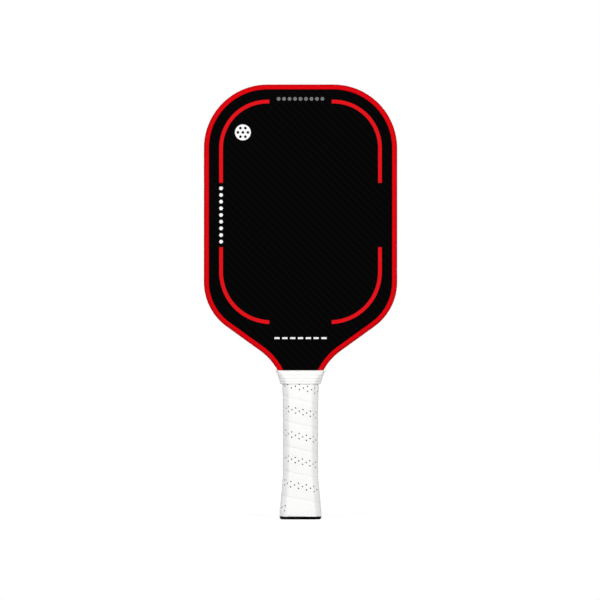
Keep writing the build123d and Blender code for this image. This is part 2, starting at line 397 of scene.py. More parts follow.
@dataclass(frozen=True)
class TackyTape(Surface):
    """Cushioned polyurethane grip tape, pebbled, with painted shade along its seams."""

    name: str = "tacky_tape"
    clean: Colour = (0.955, 0.955, 0.950)
    worn: Colour = (0.915, 0.913, 0.905)
    # Colour of the painted shade along the seams between turns.
    grime: Colour = (0.66, 0.655, 0.64)
    pebble: float = 0.55 * MM
    pebble_depth: float = 0.055 * MM
    pore: float = 0.12 * MM
    crease: float = 5.5 * MM
    crease_depth: float = 0.16 * MM
    stretch: float = 31 * MM
    # Where the painted seam shade starts and ends across the tape.
    grime_start: float = TAPE_HALF_WIDTH - 2.2 * MM
    grime_end: float = TAPE_HALF_WIDTH - 0.2 * MM
    gloss: float = 0.4

    def material(self) -> bpy.types.Material:
        """Build the tape's material on its own flat coordinates.

        Returns:
            The finished material.
        """
        tree = ShaderTree(bpy.data.materials.new(self.name))
        flat = tree.node("ShaderNodeUVMap", {"uv_map": "tape"}).outputs["UV"]
        _, across, _ = tree.axes(flat)
        pebbles = tree.cells(flat, self.pebble)
        pores = tree.noise(flat, self.pore, 2.0)
        creases = tree.noise(flat, self.crease, 3.0)
        stretched = tree.noise(flat, self.stretch, 1.0).between(0.35, 0.75)
        # Painted shade: the tape darkens towards both edges, where the turns meet at the seams.
        seam = abs(across).between(self.grime_start, self.grime_end) * (0.15 + creases * 0.3)
        tone = tree.mixed(stretched * 0.5 + pebbles * 0.15, self.clean, self.worn)
        soft = tree.relief(creases, self.crease_depth)
        return tree.finish(
            Base_Color=tree.mixed(seam * 0.45, tone, self.grime),
            Roughness=0.56 + pebbles * 0.12 + (creases - 0.5) * 0.1,
            Normal=tree.relief(pebbles * 0.8 + pores * 0.25, self.pebble_depth, soft),
            Specular_IOR_Level=self.gloss,
        )


@dataclass(frozen=True)
class ScreenInk(Surface):
    """Screen-printed ink that lies on the grit and lets a little of it through."""

    full: Colour
    thin: Colour
    roughness: float = 0.5
    screen: float = 0.4 * MM
    depth: float = 0.012 * MM
    patch: float = 9 * MM
    gloss: float = 0.03

    def material(self) -> bpy.types.Material:
        """Build the ink's material.

        Returns:
            The finished material.
        """
        tree, place = self.start()
        x, _, z = tree.axes(place)
        grit = tree.noise(place, GRIT, 3.0)
        mesh = x.wave(self.screen) * z.wave(self.screen)
        patches = tree.noise(place, self.patch, 2.0)
        thin = grit.between(0.6, 0.85) * 0.4 + patches.between(0.5, 0.9) * 0.3
        return tree.finish(
            Base_Color=tree.mixed(thin, self.full, self.thin),
            Roughness=self.roughness + (grit - 0.5) * 0.2,
            Normal=tree.relief(grit + mesh * 0.15, self.depth),
            Specular_IOR_Level=self.gloss,
        )


@dataclass(frozen=True)
class HoneycombPlastic(Surface):
    """Translucent polypropylene with drawn, slightly uneven cell walls."""

    name: str = "honeycomb_plastic"
    light: Colour = (0.82, 0.84, 0.82)
    dark: Colour = (0.66, 0.68, 0.66)
    draw: float = 1.6 * MM
    draw_depth: float = 0.01 * MM
    cloud: float = 4 * MM

    def material(self) -> bpy.types.Material:
        """Build the core's material.

        Returns:
            The finished material.
        """
        tree, place = self.start()
        _, y, _ = tree.axes(place)
        drawn = y.wave(self.draw) * 0.5 + 0.5
        milky = tree.noise(place, self.cloud, 2.0)
        return tree.finish(
            Base_Color=tree.mixed(milky * 0.7 + drawn * 0.3, self.dark, self.light),
            Roughness=0.4 + milky * 0.2,
            Normal=tree.relief(drawn, self.draw_depth),
        )


@dataclass(frozen=True)
class AmberFilm(Surface):
    """Cured adhesive, amber, with trapped air and a faint drag."""

    name: str = "amber_film"
    light: Colour = (0.74, 0.62, 0.34)
    dark: Colour = (0.52, 0.40, 0.18)
    bubble: float = 2.5 * MM
    bubble_depth: float = 0.02 * MM
    drag: float = 12 * MM

    def material(self) -> bpy.types.Material:
        """Build the adhesive's material.

        Returns:
            The finished material.
        """
        tree, place = self.start()
        bubbles = tree.cells(place, self.bubble)
        drag = tree.noise(place, self.drag, 3.0)
        return tree.finish(
            Base_Color=tree.mixed(drag, self.dark, self.light),
            Roughness=0.3 + drag * 0.25,
            Normal=tree.relief(bubbles.between(0.1, 0.35), self.bubble_depth),
        )


@dataclass(frozen=True)
class TapeFilm(Surface):
    """Thin smooth tape with a crosswise stretch pattern."""

    light: Colour
    dark: Colour
    roughness: float = 0.38
    fibre: float = 0.5 * MM
    rib: float = 0.9 * MM
    rib_depth: float = 0.006 * MM

    def material(self) -> bpy.types.Material:
        """Build the thin tape's material.

        Returns:
            The finished material.
        """
        tree, place = self.start()
        _, _, z = tree.axes(place)
        fibres = tree.noise(place, self.fibre, 2.0)
        ribs = (z * (math.tau / self.rib) + fibres * 2.0).sine() * 0.5 + 0.5
        return tree.finish(
            Base_Color=tree.mixed(fibres * 0.7 + ribs * 0.3, self.dark, self.light),
            Roughness=self.roughness + ribs * 0.12,
            Normal=tree.relief(ribs, self.rib_depth),
        )


@dataclass(frozen=True)
class HandleFoam(Surface):
    """Moulded hard foam with closed cells under its skin."""

    name: str = "handle_foam"
    light: Colour = (0.20, 0.20, 0.21)
    dark: Colour = (0.09, 0.09, 0.10)
    bubble: float = 0.8 * MM
    bubble_depth: float = 0.12 * MM
    cloud: float = 6 * MM

    def material(self) -> bpy.types.Material:
        """Build the foam's material.

        Returns:
            The finished material.
        """
        tree, place = self.start()
        bubbles = tree.cells(place, self.bubble)
        cloud = tree.noise(place, self.cloud, 2.0)
        return tree.finish(
            Base_Color=tree.mixed(bubbles * 0.6 + cloud * 0.4, self.dark, self.light),
            Roughness=0.72 + cloud * 0.15,
            Normal=tree.relief(bubbles, self.bubble_depth),
        )


@dataclass(frozen=True)
class DrawnSteel(Surface):
    """Drawn staple wire with fine lengthwise lines."""

    name: str = "drawn_steel"
    light: Colour = (0.66, 0.66, 0.67)
    dark: Colour = (0.46, 0.46, 0.47)
    line: float = 0.12 * MM
    line_depth: float = 0.004 * MM
    stain: float = 1.5 * MM

    def material(self) -> bpy.types.Material:
        """Build the wire's material.

        Returns:
            The finished material.
        """
        tree, place = self.start()
        _, y, z = tree.axes(place)
        lines = (y + z).wave(self.line) * 0.5 + 0.5
        stains = tree.noise(place, self.stain, 3.0)
        return tree.finish(
            Base_Color=tree.mixed(stains, self.dark, self.light),
            Metallic=1.0,
            Roughness=0.28 + lines * 0.12,
            Normal=tree.relief(lines, self.line_depth),
        )


@dataclass(frozen=True)
class PaleFloor(Surface):
    """Seamless pale paper, which keeps the paddle's shadow."""

    name: str = "pale_floor"
    paper: Colour = (0.62, 0.62, 0.62)
    shaded: float = 0.98
    fibre: float = 3 * MM
    lift: float = 0.67

    def material(self) -> bpy.types.Material:
        """Build the floor's material.

        Returns:
            The finished material.
        """
        tree, place = self.start()
        fibres = tree.noise(place, self.fibre, 3.0)
        low = tuple(self.shaded * part for part in self.paper)
        return tree.finish(
            Base_Color=tree.mixed(fibres, low, self.paper),
            Roughness=0.9,
            Specular_IOR_Level=0.0,
            Emission_Color=tree.mixed(tree.seen(), BLACK, WHITE),
            Emission_Strength=self.lift,
        )


class Finish(Enum):
    """The finishes of the paddle's pieces."""

    CARBON = RawCarbon()
    GUARD = MouldedRubber(
        "guard_rubber", (0.725, 0.0009, 0.0042), (0.675, 0.0007, 0.0034), roughness=0.56, gloss=0.02
    )
    CAP = MouldedRubber(
        "cap_plastic", (0.0026, 0.0026, 0.0028), (0.0012, 0.0012, 0.0013), roughness=0.5, gloss=0.02
    )
    COLLAR = MouldedRubber(
        "collar_silicone", (0.955, 0.955, 0.95), (0.93, 0.93, 0.92), roughness=0.5, grain=0.22 * MM, gloss=0.3
    )
    GRIP = TackyTape()
    # Dark backing colour: the hidden grip node's own colour, and painted shade on the walls and bottoms of
    # the tape's holes.
    GRIP_BACK = MouldedRubber(
        "grip_backing_and_hole_shade", (0.10, 0.10, 0.10), (0.06, 0.06, 0.06), 0.85, 0.2 * MM, 0.03 * MM, gloss=0.1
    )
    INK_RED = ScreenInk("ink_red", (0.73, 0.0040, 0.0080), (0.58, 0.0025, 0.005))
    INK_WHITE = ScreenInk("ink_white", (0.92, 0.92, 0.92), (0.74, 0.74, 0.74))
    INK_GREY = ScreenInk("ink_grey", (0.17, 0.17, 0.17), (0.11, 0.11, 0.11))
    CORE = HoneycombPlastic()
    FILM = AmberFilm()
    GUARD_TAPE = TapeFilm("guard_tape", (0.80, 0.80, 0.78), (0.66, 0.66, 0.63))
    FINISHING = TapeFilm("finishing_tape", (0.90, 0.90, 0.89), (0.82, 0.82, 0.81))
    FOAM = HandleFoam()
    STEEL = DrawnSteel()


class PaintShop:
    """Makes each finish's material once and puts it on pieces and nodes."""

    def __init__(self) -> None:
        """Start with no materials made."""
        self.made: dict[Finish, bpy.types.Material] = {}

    def material(self, finish: Finish) -> bpy.types.Material:
        """Give the material of a finish, made at its first use.

        Args:
            finish: The finish.

        Returns:
            Its material.
        """
        if finish not in self.made:
            self.made[finish] = finish.value.material()
        return self.made[finish]

    def dress(self, piece: bpy.types.Object, *finishes: Finish) -> None:
        """Put finishes on a piece in the order of its material slots.

        Args:
            piece: A new piece or a CAD node.
            finishes: The finishes, which take the place of what the piece had.
        """
        if piece.data.materials:
            piece.data.materials.clear()
        for finish in finishes:
            piece.data.materials.append(self.material(finish))

    def dress_nodes(self, finish: Finish, *nodes: str) -> None:
        """Put one finish on CAD nodes."""
        for node in nodes:
            self.dress(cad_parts[node], finish)


# Shapes shared by the handle's pieces


@dataclass(frozen=True)
class Octagon:
    """A rectangle with bevelled and rounded corners, walked anticlockwise from the middle of its front."""

    half_width: float
    half_thickness: float
    bevel: float
    radius: float

    def spine(self) -> list[tuple[Vector, float]]:
        """Find the centres that the corners' roundings turn about.

        Returns:
            Each rounding's centre, with the facing angle of the side before it.
        """
        bevel = self.bevel - self.radius * (2 - math.sqrt(2))
        x, y = self.half_width - self.radius, self.half_thickness - self.radius
        low, high = (x - bevel, -y), (x, bevel - y)
        quarter = [low, high]
        corners = quarter + [(a, -b) for a, b in reversed(quarter)]
        corners += [(-a, -b) for a, b in corners]
        return [(Vector(corner), math.radians(45 * side - 90)) for side, corner in enumerate(corners)]

    def walk(self) -> list[tuple[float, Vector, Vector, float, float]]:
        """List the outline's straights and roundings.

        Returns:
            Each stretch's length, its start and end on the spine, and its facing angle at both ends.
        """
        spine = self.spine()
        front = Vector((0.0, spine[0][0].y))
        stretches = []
        last = front
        for corner, facing in spine:
            stretches.append(((corner - last).length, last, corner, facing, facing))
            stretches.append((self.radius * math.pi / 4, corner, corner, facing, facing + math.pi / 4))
            last = corner
        stretches.append(((front - last).length, last, front, -math.pi / 2, -math.pi / 2))
        return stretches

    def perimeter(self) -> float:
        """Length round the outline."""
        return sum(stretch[0] for stretch in self.walk())

    def point(self, share: float, out: float = 0.0) -> Vector:
        """Find a point of the outline.

        Args:
            share: Share of the way round, of which only the part after the whole number counts.
            out: Distance outside the outline.

        Returns:
            The point as a vector in the plane.
        """
        stretches = self.walk()
        left = (share % 1.0) * sum(stretch[0] for stretch in stretches)
        for length, start, end, facing, facing_end in stretches:
            if left <= length:
                break
            left -= length
        part = min(left / length, 1.0) if length else 0.0
        angle = facing + part * (facing_end - facing)
        return start.lerp(end, part) + (self.radius + out) * Vector((math.cos(angle), math.sin(angle)))


@dataclass
class HandleForm:
    """The surface of the grip: bevelled, flared at the butt and tapered at the neck."""

    bevel: float = 5.8 * MM
    radius: float = 3.5 * MM
    flare_out: float = 3.3 * MM
    flare_start: float = 8.0 * MM
    flare_end: float = 50.0 * MM
    flare_curve: float = 1.4
    neck_length: float = 28.6 * MM
    neck_widening: float = 1.15 * MM
    neck_thinning: float = 2.2 * MM
    half_width: float = field(init=False)
    half_thickness: float = field(init=False)
    bottom: float = field(init=False)
    top: float = field(init=False)

    def __post_init__(self) -> None:
        """Read the grip's size and place from its node."""
        low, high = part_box("cushion_grip")
        self.half_width = high.x - self.flare_out
        self.half_thickness = high.y - self.flare_out
        self.bottom, self.top = low.z, high.z

    def flare(self, height: float) -> float:
        """Share of the flare at a height."""
        rise = (self.flare_end - height) / (self.flare_end - self.flare_start)
        return min(max(rise, 0.0), 1.0) ** self.flare_curve

    def neck(self, height: float) -> float:
        """Share of the neck's taper at a height."""
        return max(height - self.top + self.neck_length, 0.0) / self.neck_length

    def section(self, height: float) -> Octagon:
        """Give the outline of the grip's surface at a height.

        Args:
            height: Height up the handle.

        Returns:
            The outline there.
        """
        flare, neck = self.flare(height) * self.flare_out, self.neck(height)
        return Octagon(
            self.half_width + flare + self.neck_widening * neck,
            self.half_thickness + flare - self.neck_thinning * neck,
            self.bevel,
            self.radius,
        )

    def middle(self) -> Octagon:
        """Outline of the straight middle of the grip."""
        return Octagon(self.half_width, self.half_thickness, self.bevel, self.radius)


# Mesh helpers


def link(name: str, data: bpy.types.ID) -> bpy.types.Object:
    """Put data into the scene.

    Args:
        name: The object's name.
        data: Its mesh, lamp or camera data.

    Returns:
        The new object.
    """
    thing = bpy.data.objects.new(name, data)
    bpy.context.scene.collection.objects.link(thing)
    return thing


def as_object(name: str, mesh: bmesh.types.BMesh) -> bpy.types.Object:
    """Put a bmesh into the scene.

    Args:
        name: The object's name.
        mesh: Its mesh, which is freed.

    Returns:
        The new object.
    """
    data = bpy.data.meshes.new(name)
    mesh.to_mesh(data)
    mesh.free()
    return link(name, data)


def as_piece(
    name: str, mesh: bmesh.types.BMesh, slot: str, nodes: Iterable[str], levels: int = 0
) -> bpy.types.Object:
    """Turn a finished closed bmesh into a smooth piece of the paddle, with its faces outwards.

    Args:
        name: The piece's name.
        mesh: Its mesh, which is freed.
        slot: The record's material slot.
        nodes: CAD nodes that the piece stands for.
        levels: Levels of subdivision.

    Returns:
        The piece, which rides on the paddle.
    """
    bmesh.ops.recalc_face_normals(mesh, faces=mesh.faces[:])
    if mesh.calc_volume(signed=True) < 0:
        bmesh.ops.reverse_faces(mesh, faces=mesh.faces[:])
    for face in mesh.faces:
        face.smooth = True
    piece = as_object(name, mesh)
    if levels:
        rounding = piece.modifiers.new("rounding", "SUBSURF")
        rounding.levels = levels
        rounding.render_levels = levels
    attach(piece, BODY)
    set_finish(piece, slot)
    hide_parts(*nodes)
    return piece


def reshape(vertices: Iterable[bmesh.types.BMVert], move: Callable[[Vector], Vector]) -> None:
    """Move each vertex to where a function sends its place."""
    for vertex in vertices:
        vertex.co = move(vertex.co)


def closed_loop(
    mesh: bmesh.types.BMesh, places: Iterable[Vector]
) -> tuple[list[bmesh.types.BMVert], list[bmesh.types.BMEdge]]:
    """Add a closed line of vertices and edges.

    Args:
        mesh: The mesh that gets them.
        places: The places of the vertices in order.

    Returns:
        The vertices and the edges.
    """
    corners = [mesh.verts.new(place) for place in places]
    edges = [mesh.edges.new(pair) for pair in zip(corners, [*corners[1:], corners[0]])]
    return corners, edges


# Cushion grip


@dataclass
class CushionGrip:
    """The perforated cushion tape, cut, punched and wound from the butt up to the neck."""

    form: HandleForm
    thickness: float = 1.8 * MM
    half_width: float = TAPE_HALF_WIDTH
    pitch: float = 23.9 * MM
    neck_pitch: float = 23.3 * MM
    neck_turn: float = 4.0
    tight_turn: float = 4.44
    tightness: float = 0.13
    first_middle: float = 8.1 * MM
    start: float = -82.7 * MM
    hole_pitch: float = 7.06 * MM
    hole_pitches: int = 107
    hole_columns: int = 4
    row_gap: float = 2.45 * MM
    hole_radius: float = 0.68 * MM
    hole_depth: float = 1.2 * MM
    hole_rim: float = 0.238 * MM
    rim_drop: float = 0.06 * MM
    hole_taper: float = 0.034 * MM
    first_hole: float = 10.5 * MM
    hole_margin: float = 2.5 * MM
    lower_skive: float = 1.3 * MM
    lower_skive_lines: tuple[float, ...] = (0.0, 0.3, 1.0)
    lower_drop: float = 0.70 * MM
    lower_line: float = -7.4 * MM
    upper_line: float = 6.2 * MM
    upper_skive: float = 4.5 * MM
    upper_skive_lines: tuple[float, ...] = (1.0, 0.55, 0.25, 0.0)
    upper_drop: float = 0.8 * MM
    lap: float = 4.42 * MM
    lap_gap: float = 0.12 * MM
    crown: float = 0.06 * MM
    weld: float = 0.05 * MM
    near: float = 0.1 * MM
    slack: float = 0.01 * MM
    first_inset: float = 0.02 * MM
    turn_length: float = field(init=False)

    def __post_init__(self) -> None:
        """Take the length of a turn from the handle."""
        self.turn_length = self.form.middle().perimeter()

    def rows(self) -> list[float]:
        """Choose the lines of vertices that run along the tape.

        Returns:
            Their places across the flat tape, from its lower edge up.
        """
        step = self.row_gap / 2
        holes = [step * row for row in range(-3, 4)]
        below = [-self.half_width + self.lower_skive * part for part in self.lower_skive_lines]
        above = [self.half_width - self.upper_skive * part for part in self.upper_skive_lines]
        return [*below, self.lower_line, *holes, self.upper_line, *above]

    def crown_at(self, across: float) -> float:
        """Shape the tape's outer surface: crowned, and skived at both edges.

        Args:
            across: Place across the tape, from its middle.

        Returns:
            The surface's height there.
        """
        from_low = min((across + self.half_width) / self.lower_skive, 1.0)
        from_high = min((self.half_width - across) / self.upper_skive, 1.0)
        return self.crown - self.lower_drop * (1 - from_low) ** 2 - self.upper_drop * (1 - from_high) ** 2

    def back_at(self, across: float) -> float:
        """Height of the tape's back, which clears the turn below where it laps over it."""
        share = min((across + self.half_width) / self.lap, 1.0)
        return -self.thickness + (self.thickness - self.lower_drop - self.lap_gap) * (1 - share) ** 2

    def middle_at(self, along: float) -> float:
        """Find how far up the handle the tape's middle line is.

        Args:
            along: Place along the tape.

        Returns:
            The height.
        """
        turn = along / self.turn_length
        neck_turns = max(turn - self.neck_turn, 0.0)
        return self.first_middle + self.pitch * min(turn, self.neck_turn) + self.neck_pitch * neck_turns

    def along_at(self, column: float) -> float:
        """Place along the tape of a column of its mesh: the last turn is pulled tighter and so longer."""
        along = self.start + column * self.hole_pitch / self.hole_columns
        return along + self.tightness * max(along - self.tight_turn * self.turn_length, 0.0)

    def flat_tape(self) -> bmesh.types.BMesh:
        """Lay out the tape flat as one sheet.

        Returns:
            The sheet, with X along it and Y across it.
        """
        rows = self.rows()
        columns = self.hole_columns * self.hole_pitches
        mesh = bmesh.new()
        bmesh.ops.create_grid(mesh, x_segments=columns, y_segments=len(rows) - 1, size=0.5)

        def lay(place: Vector) -> Vector:
            """Send a grid point to its place on the flat tape."""
            row = round((place.y + 0.5) * (len(rows) - 1))
            return Vector((self.along_at(round((place.x + 0.5) * columns)), rows[row], 0.0))

        reshape(mesh.verts, lay)
        return mesh

    def trim(self, mesh: bmesh.types.BMesh) -> None:
        """Cut the sheet's ends slantwise so that the wound grip ends flat at both ends.

        Args:
            mesh: The flat sheet.
        """
        butt_slope = self.pitch / self.turn_length
        neck_slope = self.neck_pitch / self.turn_length
        neck_along = self.neck_turn * self.turn_length
        neck_middle = self.middle_at(neck_along)
        cuts = (
            (Vector((0.0, self.form.bottom - self.first_middle, 0.0)), Vector((-butt_slope, -1.0, 0.0))),
            (Vector((neck_along, self.form.top - neck_middle, 0.0)), Vector((neck_slope, 1.0, 0.0))),
        )
        for place, outwards in cuts:
            geometry = mesh.verts[:] + mesh.edges[:] + mesh.faces[:]
            bmesh.ops.bisect_plane(
                mesh, geom=geometry, dist=self.weld, plane_co=place, plane_no=outwards, clear_outer=True
            )

    def thicken(self, mesh: bmesh.types.BMesh) -> list[bmesh.types.BMVert]:
        """Give the sheet its back and its crowned front.

        Args:
            mesh: The trimmed sheet, which becomes the tape's back.

        Returns:
            The vertices of the front.
        """
        raised = bmesh.ops.extrude_face_region(mesh, geom=mesh.faces[:])["geom"]
        front = [item for item in raised if isinstance(item, bmesh.types.BMVert)]
        fronts = set(front)
        for vertex in mesh.verts:
            level = self.crown_at if vertex in fronts else self.back_at
            vertex.co.z = level(vertex.co.y)
        return front

    def hole_centres(self, front: Iterable[bmesh.types.BMVert]) -> list[bmesh.types.BMVert]:
        """Pick the middles of holes: three rows, the middle one set off by half.

        Args:
            front: The vertices of the tape's front.

        Returns:
            The vertices that a hole takes the place of.
        """
        columns = [self.along_at(column) for column in range(self.hole_columns * self.hole_pitches + 1)]
        offset = self.hole_columns // 2
        centres = []
        for vertex in front:
            column = bisect.bisect(columns, vertex.co.x - self.slack)
            row = round(vertex.co.y / self.row_gap)
            on_row = abs(vertex.co.y - row * self.row_gap) < self.near
            punched = on_row and abs(row) <= 1 and column % self.hole_columns == abs(row) * offset
            whole = len(vertex.link_faces) == 4 and all(len(face.verts) == 4 for face in vertex.link_faces)
            height = self.middle_at(vertex.co.x) + vertex.co.y
            clear = self.form.bottom + self.hole_margin < height < self.form.top - self.hole_margin
            if punched and whole and clear and vertex.co.x > self.first_hole:
                centres.append(vertex)
        return centres

    def punch(self, mesh: bmesh.types.BMesh, front: Iterable[bmesh.types.BMVert]) -> None:
        """Punch the holes: a rounded rim, a straight wall and a bottom in the tape's backing. Walls and
        bottoms are painted dark, as painted shade in the holes.

        Args:
            mesh: The flat tape.
            front: The vertices of its front.
        """
        bmesh.ops.dissolve_verts(mesh, verts=self.hole_centres(front))
        holes = [face for face in mesh.faces if len(face.verts) == 8]
        middles = {hole: hole.calc_center_bounds() for hole in holes}
        eighth = math.tau / 8
        rings = (
            (self.hole_radius + self.hole_rim, 0.0),
            (self.hole_radius, self.rim_drop),
            (self.hole_radius - self.hole_taper, self.hole_depth),
        )
        for radius, depth in rings:
            walls = bmesh.ops.inset_individual(mesh, faces=holes, thickness=self.first_inset)["faces"]
            for hole, middle in middles.items():
                for vertex in hole.verts:
                    away = vertex.co - middle
                    angle = eighth * round(math.atan2(away.y, away.x) / eighth)
                    out = radius * Vector((math.cos(angle), math.sin(angle)))
                    vertex.co = (middle.x + out.x, middle.y + out.y, self.crown_at(middle.y) - depth)
        # Painted shade: the holes' walls and bottoms get the dark second material.
        for face in [*walls, *holes]:
            face.material_index = 1

    def map_flat(self, mesh: bmesh.types.BMesh) -> None:
        """Keep the flat tape's places as its UV map, in metres.

        Args:
            mesh: The flat tape.
        """
        layer = mesh.loops.layers.uv.new("tape")
        for face in mesh.faces:
            for loop in face.loops:
                loop[layer].uv = loop.vert.co.xy

    def wind(self, place: Vector) -> Vector:
        """Wind a point of the flat tape onto the handle.

        Args:
            place: The point on the flat tape.

        Returns:
            Its place on the handle.
        """
        height = self.middle_at(place.x) + place.y
        height = min(max(height, self.form.bottom), self.form.top)
        around = self.form.section(height).point(-place.x / self.turn_length, place.z)
        return Vector((around.x, around.y, height))

    def hold_ends(self, mesh: bmesh.types.BMesh) -> None:
        """Keep the cut ends sharp under subdivision.

        Args:
            mesh: The wound tape.
        """
        layer = mesh.edges.layers.float.new("crease_edge")
        for edge in mesh.edges:
            heights = [vertex.co.z for vertex in edge.verts]
            if max(heights) < self.form.bottom + self.near or min(heights) > self.form.top - self.near:
                edge[layer] = 1.0

    def build(self) -> bpy.types.Object:
        """Build the wound tape.

        Returns:
            The piece that stands for the cushion grip's node.
        """
        mesh = self.flat_tape()
        self.trim(mesh)
        front = self.thicken(mesh)
        self.punch(mesh, front)
        self.map_flat(mesh)
        reshape(mesh.verts, self.wind)
        self.hold_ends(mesh)
        return as_piece("wound_grip_tape", mesh, "grip_white", ["cushion_grip"], levels=1)


# Collar


@dataclass
class Collar:
    """The ribbed silicone collar, turned as a ring and then stretched over the grip and the throat."""

    form: HandleForm
    guard: EdgeGuard
    wall: float = 1.7 * MM
    fit: float = 0.3 * MM
    middle_bevel: float = 4.0 * MM
    middle_radius: float = 2.2 * MM
    top_bevel: float = 1.6 * MM
    top_radius: float = 1.0 * MM
    grooves: int = 4
    top_rib: float = 3.2 * MM
    bottom_rib: float = 1.9 * MM
    groove_depth: float = 0.65 * MM
    groove_half: float = 0.42 * MM
    groove_shape: tuple[Pair, ...] = ((1.0, 0.0), (0.4, 0.85), (-0.1, 1.0), (-0.7, 0.3), (-1.4, 0.0))
    lip_round: float = 0.55 * MM
    steps: int = 96
    ring: float = 20.0 * MM
    bottom: float = field(init=False)
    top: float = field(init=False)
    top_half_width: float = field(init=False)
    top_half_thickness: float = field(init=False)

    def __post_init__(self) -> None:
        """Read the collar's heights from its node and what it grips from its neighbours."""
        low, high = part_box("grip_collar")
        self.bottom, self.top = low.z, high.z
        self.top_half_width = high.x - self.wall
        self.top_half_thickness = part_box("edge_guard")[1].y + self.fit

    def bore(self, height: float) -> Octagon:
        """Give the outline of the collar's bore at a height.

        Args:
            height: Height up the handle.

        Returns:
            The outline there, which changes from the grip's to the throat's.
        """
        knee, fit = self.form.top, self.fit
        low_grip, high_grip = self.form.section(self.bottom), self.form.section(knee)
        low = (low_grip.half_width + fit, low_grip.half_thickness + fit, self.form.bevel, self.form.radius)
        middle = (
            max(high_grip.half_width, self.guard.end_half_width()) + fit,
            high_grip.half_thickness + fit,
            self.middle_bevel,
            self.middle_radius,
        )
        top = (self.top_half_width, self.top_half_thickness, self.top_bevel, self.top_radius)
        if height < knee:
            share, start, end = (height - self.bottom) / (knee - self.bottom), low, middle
        else:
            share, start, end = (height - knee) / (self.top - knee), middle, top
        return Octagon(*[a + share * (b - a) for a, b in zip(start, end)])

    def profile(self) -> list[Pair]:
        """Draw the wall's section, with its rounded lips and grooves.

        Returns:
            Distances outside the bore with their heights, from the inner top edge on.
        """
        soft = self.lip_round
        points = [(0.0, self.top - soft), (soft * 0.3, self.top - soft * 0.3), (soft, self.top)]
        points += [(self.wall - soft, self.top), (self.wall - soft * 0.25, self.top - soft * 0.25)]
        points.append((self.wall, self.top - soft))
        pitch = (self.top - self.bottom - self.top_rib - self.bottom_rib) / (self.grooves - 1)
        for groove in range(self.grooves):
            middle = self.top - self.top_rib - groove * pitch
            for high, deep in self.groove_shape:
                points.append((self.wall - self.groove_depth * deep, middle + self.groove_half * high))
        points.append((self.wall, self.bottom + soft))
        points += [(self.wall - soft * 0.3, self.bottom + soft * 0.3), (self.wall - soft, self.bottom)]
        points += [(soft, self.bottom), (0.0, self.bottom + soft), (0.0, self.form.top)]
        return points

    def stretch(self, place: Vector) -> Vector:
        """Stretch a point of the turned ring over the bore.

        Args:
            place: The point on the ring.

        Returns:
            Its place on the collar.
        """
        out = place.xy.length - self.ring
        share = (math.atan2(place.y, place.x) / math.tau + 0.25) % 1.0
        around = self.bore(place.z).point(share, out)
        return Vector((around.x, around.y, place.z))

    def build(self) -> bpy.types.Object:
        """Build the collar.

        Returns:
            The piece that stands for the collar's node.
        """
        mesh = bmesh.new()
        places = [Vector((self.ring + out, 0.0, height)) for out, height in self.profile()]
        corners, edges = closed_loop(mesh, places)
        bmesh.ops.spin(
            mesh, geom=[*corners, *edges], cent=(0, 0, 0), axis=(0, 0, 1), angle=math.tau,
            steps=self.steps, use_merge=True,
        )
        reshape(mesh.verts, self.stretch)
        return as_piece("ribbed_collar", mesh, "collar_white", ["grip_collar"], levels=1)


# Edge guard

# A stretch's length, and a function that gives the place and the outward direction a distance along it.
Stretch = tuple[float, Callable[[float], tuple[Vector, Vector]]]


def straight(start: Vector, end: Vector, out: Vector) -> Stretch:
    """Make a straight stretch between two places."""
    length = (end - start).length
    return length, lambda far: (start.lerp(end, far / length), out)


def arc(centre: Vector, radius: float, first: float, last: float, side: float = 1.0) -> Stretch:
    """Make an arc between two directions.

    Args:
        centre: The circle's centre.
        radius: Its radius.
        first: Direction at the arc's start.
        last: Direction at its end.
        side: 1, or -1 where the head lies outside the circle.

    Returns:
        The stretch.
    """

    def at(far: float) -> tuple[Vector, Vector]:
        """Find the place and the outward direction on the arc.

        Args:
            far: Distance along the arc.

        Returns:
            Both as vectors in the plane.
        """
        angle = first + (last - first) * far / length
        ray = Vector((math.cos(angle), math.sin(angle)))
        return centre + radius * ray, side * ray

    length = radius * abs(last - first)
    return length, at


